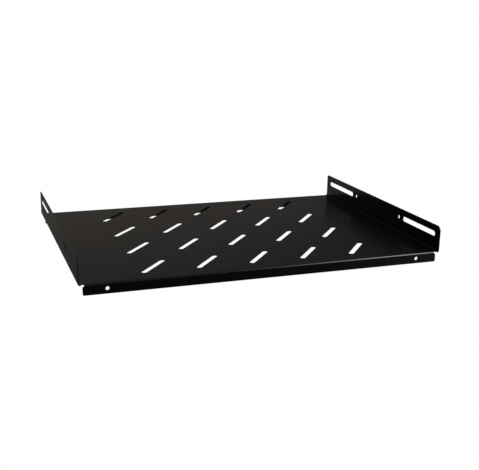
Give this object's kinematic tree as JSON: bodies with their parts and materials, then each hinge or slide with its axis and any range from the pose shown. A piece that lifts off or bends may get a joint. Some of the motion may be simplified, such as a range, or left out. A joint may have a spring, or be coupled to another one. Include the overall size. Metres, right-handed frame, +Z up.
{
  "type": "fixed rack shelf",
  "caption": "Vented steel shelf folded from one sheet, with upright side walls slotted for bolting to front and rear rack uprights, and folded lips.",
  "frame": {"origin": "midway along the width and the depth, at the height of the lowest edge, which is the rear lip's; the deck's top is 16.8 mm above it", "axes": "+X to the shelf's right seen from the front, +Y to the rear, +Z up; the front lip faces -Y"},
  "size_m": [0.485, 0.35, 0.0511],
  "materials": {
    "powder_coat": "satin black powder coat with a fine orange peel"
  },
  "bodies": {
    "root": {"rack_shelf": "powder_coat"}
  },
  "joints": []
}
